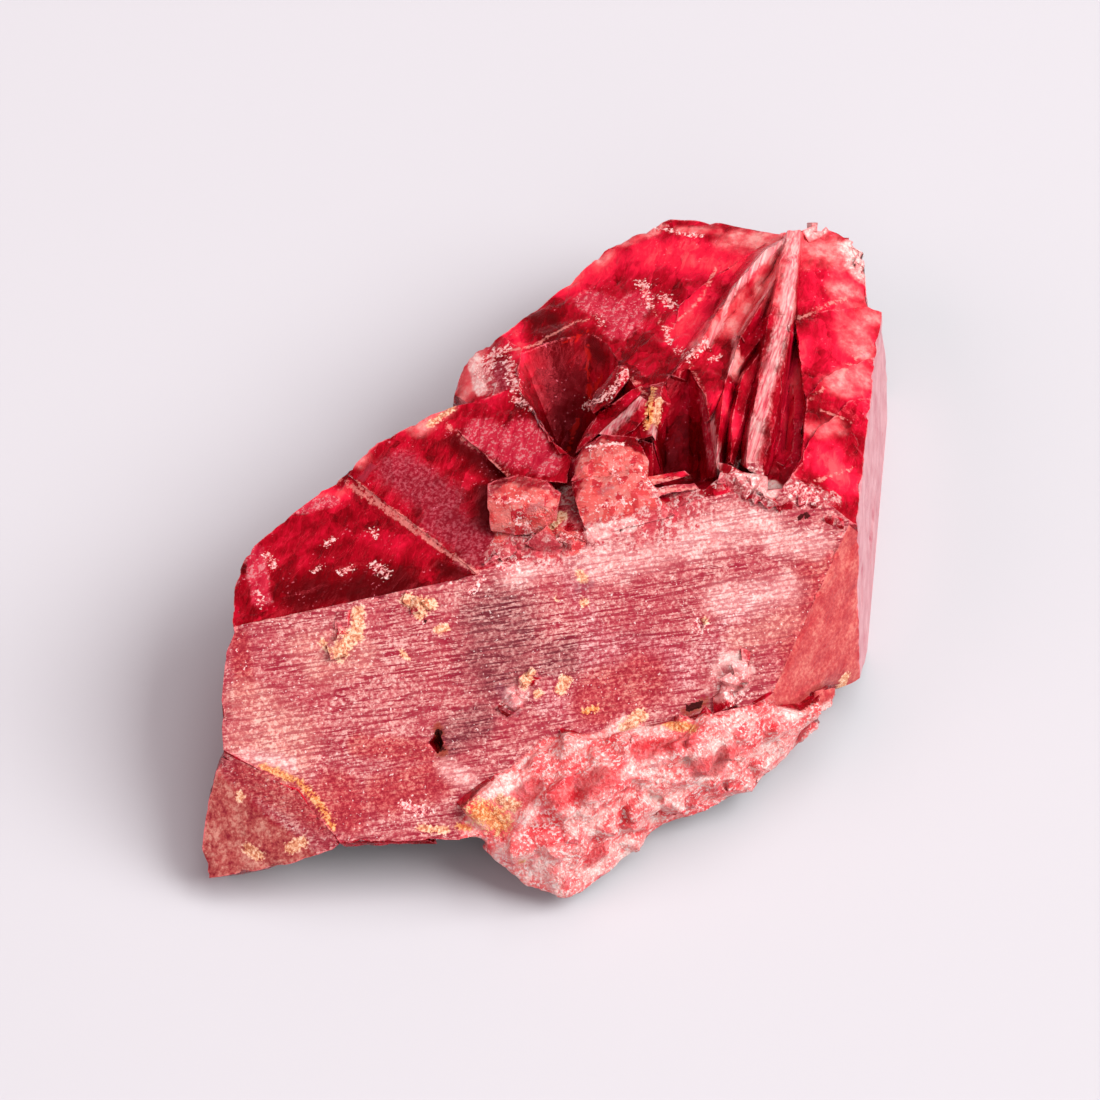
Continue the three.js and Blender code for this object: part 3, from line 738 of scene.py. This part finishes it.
def stone_patterns(tree):
    """The stone's patterns from 0 to 1, and the kinds of surface and marks that the mesh holds."""
    place = add(tree, "TexCoord", give="Object")
    made = {}
    for name, (size, detail, roughness, distortion, turn, length) in NOISES.items():
        vector = place
        if length > 1:
            drawn_out = {"Vector": place, "Rotation": (0, 0, TURN + turn), "Scale": (length, 1, 1)}
            vector = add(tree, "Mapping", drawn_out, vector_type="TEXTURE")
        inputs = {"Vector": vector, "Scale": 1 / (size * MM), "Detail": detail}
        inputs.update({"Roughness": roughness, "Distortion": distortion})
        made[name] = add(tree, "TexNoise", inputs, give="Fac")
    for name, (size, distance, bent_by, far, length) in CELLS.items():
        inputs = (made[bent_by], (far * MM,) * 3, place)
        bent = add(tree, "VectorMath", inputs, operation="MULTIPLY_ADD")
        drawn_out = {"Vector": bent, "Rotation": (0, 0, TURN + CLEAVAGE_TURN), "Scale": (length, 1, 1)}
        vector = add(tree, "Mapping", drawn_out, vector_type="TEXTURE")
        inputs = {"Vector": vector, "Scale": 1 / (size * MM)}
        random_colour = add(tree, "TexVoronoi", inputs, give="Color", distance=distance)
        made[name] = add(tree, "SeparateColor", (random_colour,))
    made["soft"] = weighed(tree, ((made["clouds"], 0.8), (made["grain"], 0.3)), -0.05)
    made["curds"] = weighed(tree, ((made["grain"], 0.6), (made["clouds"], 0.6)), -0.1)
    made["grooves"] = weighed(tree, ((made["striations"], 1), (made["grain"], 0.22)), -0.11)
    for name in MESH_MASKS:
        made[name] = add(tree, "Attribute", give="Fac", attribute_name=name)
    made["unstriated"] = add(tree, "Math", (1, made["striated"]), operation="SUBTRACT")
    return SimpleNamespace(**made)


def marked(tree, name, pattern, broken, low, blur, most=1.0):
    """Where a mark shows: its even fall, broken up by a pattern, from low on and fully a blur later."""
    fall = add(tree, "Attribute", give="Fac", attribute_name=name)
    shape = weighed(tree, ((fall, 1), (pattern, broken)), -broken / 2)
    shape = add(tree, "MapRange", (shape, low, low + blur, 0, most), **EASED)
    within = add(tree, "MapRange", (fall, 0, MARK_RIM), **EASED)
    return add(tree, "Math", (shape, within), operation="MULTIPLY")


def kept_to(tree, zone, finishes):
    """The same finishes, only where a zone is."""
    return [
        (add(tree, "Math", (share, zone), operation="MULTIPLY"), *look) for share, *look in finishes
    ]


# The next functions give finishes: each one's share at every point, then its colour, how clear it
# is and how rough.
def clear_depth(tree, pattern):
    """Fresh cleavage: blood red and clear where light goes far in, bright red where it turns back.
    Painted light makes the marked places brighter red, and painted shade makes others darker.
    """
    terms = (
        (pattern.depths, 0.5),
        (pattern.clouds, 0.4),
        (pattern.streaks, 0.7),
        (pattern.blocks, 0.22),
        (pattern.glow, 0.5),
    )
    lit = weighed(tree, terms, -0.585)
    # Painted shade: the marked places are made darker and clearer.
    shade = add(tree, "MapRange", (pattern.deep, 0, 0.8, 1, 0.25))
    tone = add(tree, "Math", (lit, shade), operation="MULTIPLY", use_clamp=True)
    stops = (
        (0.0, "#6E0002"),
        (0.2, "#A00010"),
        (0.38, "#C40822"),
        (0.55, "#DE1234"),
        (0.72, "#F4203E"),
        (0.95, "#FA5058"),
    )
    red = add(tree, "ValToRGB", (tone,), stops=stops)
    clear = add(tree, "MapRange", (tone, 0.1, 0.6, 0.65, 0.12))
    rough = add(tree, "MapRange", (tone, 0.1, 0.5, 0.25, 0.15))
    return red, clear, rough


def flaws(tree, pattern):
    """In the clear stone: veined and milky places, dust, and painted highlights: fiery orange-red
    glints, and pink glints where tiny cracks would catch the light.
    """
    veins = weighed(tree, ((pattern.grain, 1), (pattern.streaks, 0.8)), -0.4)
    veins = add(tree, "MapRange", (veins, 0.52, 0.66, 0, 0.7), **EASED)
    veined = add(tree, "ValToRGB", (pattern.streaks,), stops=((0.35, "#D01838"), (0.6, "#F24058")))
    veined = add(tree, "Mix", (veins, veined, linear("#F8ACAE")), data_type="RGBA")
    stops = ((0.34, "#EE3042"), (0.5, "#F8686C"), (0.66, "#FEA8A2"))
    milky = add(tree, "ValToRGB", (pattern.soft,), stops=stops)
    stops = ((0.38, "#8C1226"), (0.5, "#A42C3C"), (0.62, "#C8606C"))
    dusty = add(tree, "ValToRGB", (pattern.grain,), stops=stops)
    # Painted glints: small pink highlights, kept to the clouded places.
    glints = add(tree, "MapRange", (pattern.specks, 0.66, 0.74), **EASED)
    glint_places = add(tree, "MapRange", (pattern.clouds, 0.5, 0.62, 0, 0.8), **EASED)
    glints = add(tree, "Math", (glints, glint_places), operation="MULTIPLY")
    finishes = (
        (marked(tree, "crimson", pattern.streaks, 0.6, 0.1, 0.4, 0.9), veined, 0.3, 0.25),
        (marked(tree, "salmon", pattern.clouds, 0.5, 0, 0.9, 0.9), milky, 0.15, 0.35),
        (marked(tree, "dust", pattern.clouds, 0.4, 0.05, 0.6, 0.8), dusty, 0.3, 0.4),
        (marked(tree, "painted_fire_glints", pattern.streaks, 3, 0.4, 0.4, 0.7), linear("#DC1C0C"), 0.3, 0.2),
        (glints, linear("#E8788A"), 0.1, 0.2),
    )
    return kept_to(tree, pattern.unstriated, finishes)


def grown_face(tree, pattern):
    """The face as it grew: its fine lines scatter light, so it is satin and pale, with dark grooves."""
    terms = ((pattern.grain, 0.8), (pattern.clouds, 0.25), (pattern.depths, 0.2))
    crackle = weighed(tree, terms, -0.125)
    groove = add(tree, "MapRange", (pattern.grooves, 0.42, 0.53, 1, 0), **EASED)
    kept = add(tree, "MapRange", (pattern.clouds, 0.35, 0.6, 0.7, 1))
    groove = add(tree, "Math", (groove, kept), operation="MULTIPLY")
    finishes = []
    for kind, (where, ground, line, depth, clear, rough) in GROWN_FINISHES.items():
        share = marked(tree, kind, pattern.clouds, *where) if where else 1
        colour = add(tree, "ValToRGB", (crackle,), stops=tuple(zip(GROUND_STOPS, ground)))
        cut_in = add(tree, "Math", (groove, depth), operation="MULTIPLY")
        colour = add(tree, "Mix", (cut_in, colour, linear(line)), data_type="RGBA")
        finishes.append((share, colour, clear, rough))
    # Painted glints: sparse white highlights on the grown face.
    specks = add(tree, "MapRange", (pattern.specks, 0.68, 0.76, 0, 0.7), **EASED)
    finishes.append((specks, linear("#FFE4DE"), 0.1, 0.3))
    return kept_to(tree, pattern.striated, finishes)


def broken_sides(tree, pattern):
    """Cleaved and broken sides: frosted by tiny steps, so they are pale and even."""
    stops = ((0.34, "#C4707C"), (0.5, "#D08890"), (0.66, "#DEA0A6"))
    frosted = add(tree, "ValToRGB", (pattern.soft,), stops=stops)
    stops = ((0.36, "#B43238"), (0.5, "#CA4E4C"), (0.66, "#E07E72"))
    reddish = add(tree, "ValToRGB", (pattern.curds,), stops=stops)
    stops = ((0.36, "#902632"), (0.5, "#BA5852"), (0.64, "#DC9888"))
    brownish = add(tree, "ValToRGB", (pattern.curds,), stops=stops)
    return [
        (pattern.side, frosted, 0.2, 0.35),
        (pattern.corner, reddish, 0.2, 0.35),
        (pattern.low_corner, brownish, 0.2, 0.35),
    ]


def sugary_mass(tree, pattern):
    """Fused grains: white where their many small faces scatter light, red where they are thick."""
    stops = ((0.34, "#EE3A42"), (0.44, "#FA7070"), (0.54, "#FFA6A0"), (0.64, "#FFD2CA"))
    colour = add(tree, "ValToRGB", (pattern.smears,), stops=stops)
    white = add(tree, "MapRange", (pattern.grain, 0.5, 0.64, 0, 0.8), **EASED)
    colour = add(tree, "Mix", (white, colour, linear("#FFEEE8")), data_type="RGBA")
    red = add(tree, "MapRange", (pattern.grain, 0.36, 0.46, 0.5, 0), **EASED)
    colour = add(tree, "Mix", (red, colour, linear("#E8484E")), data_type="RGBA")
    return [(pattern.sugar, colour, 0.12, 0.35)]


def broken_grains(tree, pattern):
    """Lumps, crushed places and veils: many small broken faces, each catching the light for itself."""
    stops = ((0.0, "#D02838"), (0.35, "#F65C58"), (0.9, "#FE8C84"))
    lump = add(tree, "ValToRGB", (pattern.chips,), stops=stops)
    white = add(tree, "MapRange", (pattern.grain, 0.54, 0.68, 0, 0.7), **EASED)
    lump = add(tree, "Mix", (white, lump, linear("#FDCCC4")), data_type="RGBA")
    stops = ((0.0, "#B83040"), (0.3, "#E07478"), (0.6, "#F4B8B0"), (0.9, "#FFECE4"))
    crushed = add(tree, "ValToRGB", (pattern.chips,), stops=stops)
    white = add(tree, "MapRange", (pattern.grain, 0.4, 0.65, 0, 0.7), **EASED)
    crushed = add(tree, "Mix", (white, linear("#C03C48"), crushed), data_type="RGBA")
    bloody = add(tree, "ValToRGB", (pattern.soft,), stops=((0.38, "#D4202C"), (0.6, "#F25458")))
    stops = ((0.36, "#DC7478"), (0.48, "#F2AAA6"), (0.62, "#FDE2DA"))
    veil = add(tree, "ValToRGB", (pattern.curds,), stops=stops)
    return [
        (marked(tree, "lump", pattern.clouds, 1, 0.15, 0.2), lump, 0.35, 0.22),
        (marked(tree, "crushed", pattern.chips, 0.8, 0.2, 0.3, 0.9), crushed, 0.2, 0.3),
        (marked(tree, "blood", pattern.smears, 1.2, 0.1, 0.4, 0.75), bloody, 0.3, 0.3),
        (marked(tree, "veil", pattern.clouds, 0.8, 0.1, 0.4, 0.9), veil, 0.1, 0.35),
    ]


def worn_highlit_and_ribbed(tree, pattern):
    """Bruised edges, with a painted highlight along them, and splintered ribs: torn into fine fibres,
    so they are pale and silky.
    """
    # Wear and painted highlight: a pale line along the sharp outward edges.
    bruised_and_highlit = add(tree, "MapRange", (pattern.worn, 0.4, 0.9), **EASED)
    patchy = add(tree, "MapRange", (pattern.curds, 0.44, 0.56, 0, 0.7), **EASED)
    bruised_and_highlit = add(tree, "Math", (bruised_and_highlit, patchy), operation="MULTIPLY")
    stops = ((0.34, "#DC5C6A"), (0.46, "#EC9094"), (0.56, "#F4B4B0"), (0.68, "#FAD8D2"))
    silky = add(tree, "ValToRGB", (pattern.fibres,), stops=stops)
    return [
        (bruised_and_highlit, linear("#EC7078"), 0.15, 0.35),
        (marked(tree, "rib", pattern.streaks, 1.6, 0.1, 0.7, 0.75), silky, 0.15, 0.35),
    ]


def crusts_and_painted_glints(tree, pattern):
    """What lies on the stone: pale frayed edges, crystal dust and painted glints, clay and iron oxide
    coats, dark spots.
    """
    finishes = []
    for kind, (where, colours, clear, rough) in CRUSTS.items():
        share = marked(tree, kind, pattern.grain, *where)
        if isinstance(colours, str):
            colour = linear(colours)
        else:
            colour = add(tree, "ValToRGB", (pattern.grain,), stops=colours)
        finishes.append((share, colour, clear, rough))
    return finishes


def fine_relief(tree, pattern):
    """Grooves on the grown face, sharp grains on the rough places and small steps elsewhere."""
    broken = add(tree, "Math", (pattern.lump, pattern.crushed), operation="MAXIMUM")
    broken = add(tree, "Math", (pattern.sugar, broken), operation="MAXIMUM")
    grains = add(tree, "Math", (pattern.grain, GRAIN_RELIEF), operation="MULTIPLY")
    relief = add(tree, "Mix", (broken, pattern.streaks, grains), data_type="FLOAT")
    relief = add(tree, "Mix", (pattern.striated, relief, pattern.grooves), data_type="FLOAT")
    return add(tree, "Bump", {"Strength": 0.6, "Distance": RELIEF * MM, "Height": relief})


# In this order, each over the ones before it.
FINISHES = (flaws, grown_face, broken_sides, sugary_mass, broken_grains, worn_highlit_and_ribbed, crusts_and_painted_glints)


def cleaved_rhodonite():
    """Rhodonite, a glassy manganese silicate, cleaved and broken: fresh faces are clear and dark red,
    and its grown face and crushed places are paler, because their fine relief scatters the light.
    Painted light, painted shade and painted glints lie over parts of it."""
    material, tree = new_material("rhodonite_cleaved")
    pattern = stone_patterns(tree)
    look = clear_depth(tree, pattern)
    for finishes in FINISHES:
        for share, *finish in finishes(tree, pattern):
            look = [
                add(tree, "Mix", (share, below, above), data_type=kind)
                for kind, below, above in zip(("RGBA", "FLOAT", "FLOAT"), look, finish)
            ]
    colour, clear, rough = look
    inputs = {
        "Base Color": colour,
        "Roughness": rough,
        "IOR": 1.72,
        "Specular IOR Level": 0.3,
        "Specular Tint": linear("#FF5060"),
        "Normal": fine_relief(tree, pattern),
        "Transmission Weight": clear,
    }
    surface = add(tree, "BsdfPrincipled", inputs)
    depth = add(tree, "VolumeAbsorption", {"Color": linear("#F82028"), "Density": 350})
    add(tree, "OutputMaterial", {"Surface": surface, "Volume": depth})
    return material


def paper_floor():
    """Uncoated paper: its loose fibres scatter all light, so it is even, matt and a little cool."""
    material, tree = new_material("paper_uncoated")
    surface = add(tree, "BsdfPrincipled", {"Base Color": linear("#C3C1C5"), "Roughness": 0.9})
    add(tree, "OutputMaterial", {"Surface": surface})
    return material


# ---- table, light and camera ----
def table():
    bm = bmesh.new()
    bmesh.ops.create_grid(bm, x_segments=1, y_segments=1, size=3.0)
    mesh = bpy.data.meshes.new("table")
    bm.to_mesh(mesh)
    bm.free()
    floor = bpy.data.objects.new("table", mesh)
    bpy.context.scene.collection.objects.link(floor)
    mesh.materials.append(paper_floor())


def direction(azimuth, elevation):
    """A unit vector from the stone, azimuth counted on the frame's plan from +X."""
    flat = math.cos(elevation)
    return Vector((flat * math.cos(azimuth), flat * math.sin(azimuth), math.sin(elevation)))


def softbox(name, azimuth, elevation, distance, size, watts, colour):
    light = bpy.data.lights.new(name, "AREA")
    light.size = size
    light.energy = watts
    light.color = linear(colour)[:3]
    lamp = bpy.data.objects.new(name, light)
    toward = direction(math.radians(azimuth), math.radians(elevation))
    lamp.location = toward * distance
    lamp.rotation_euler = toward.to_track_quat("Z", "Y").to_euler()
    bpy.context.scene.collection.objects.link(lamp)


def lights():
    world = bpy.data.worlds.new("studio")
    world.use_nodes = True
    background = world.node_tree.nodes["Background"]
    background.inputs["Color"].default_value = linear("#F4F0F6")
    background.inputs["Strength"].default_value = 0.12
    world.cycles.sampling_method = "NONE"
    bpy.context.scene.world = world
    softbox("softbox_right", -50, 42, 1.0, 0.75, 14.5, "#FFFFFF")
    softbox("softbox_above", 10, 72, 1.0, 0.8, 4.6, "#FFFFFF")
    softbox("softbox_left", 150, 35, 1.0, 0.7, 3.8, "#FFCCD4")
    softbox("softbox_front", -120, 35, 1.0, 0.8, 2.6, "#FFFFFF")
    bpy.context.scene.view_settings.view_transform = "Standard"
    cycles = bpy.context.scene.cycles
    cycles.max_bounces = 4
    cycles.diffuse_bounces = 1
    cycles.glossy_bounces = 1
    cycles.transmission_bounces = 4
    cycles.caustics_reflective = False
    cycles.caustics_refractive = False


def camera():
    data = bpy.data.cameras.new("camera")
    data.lens = LENS
    data.sensor_width = SENSOR
    data.clip_start = 0.01
    eye = bpy.data.objects.new("camera", data)
    toward = direction(VIEW_TURN, VIEW_ELEVATION)
    eye.location = (Vector(VIEW_CENTRE) + toward * VIEW_DISTANCE) * MM
    eye.rotation_euler = toward.to_track_quat("Z", "Y").to_euler()
    bpy.context.scene.collection.objects.link(eye)
    bpy.context.scene.camera = eye


crystal = rhodonite_crystal()
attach(crystal, "root")
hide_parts("rhodonite")
table()
lights()
camera()
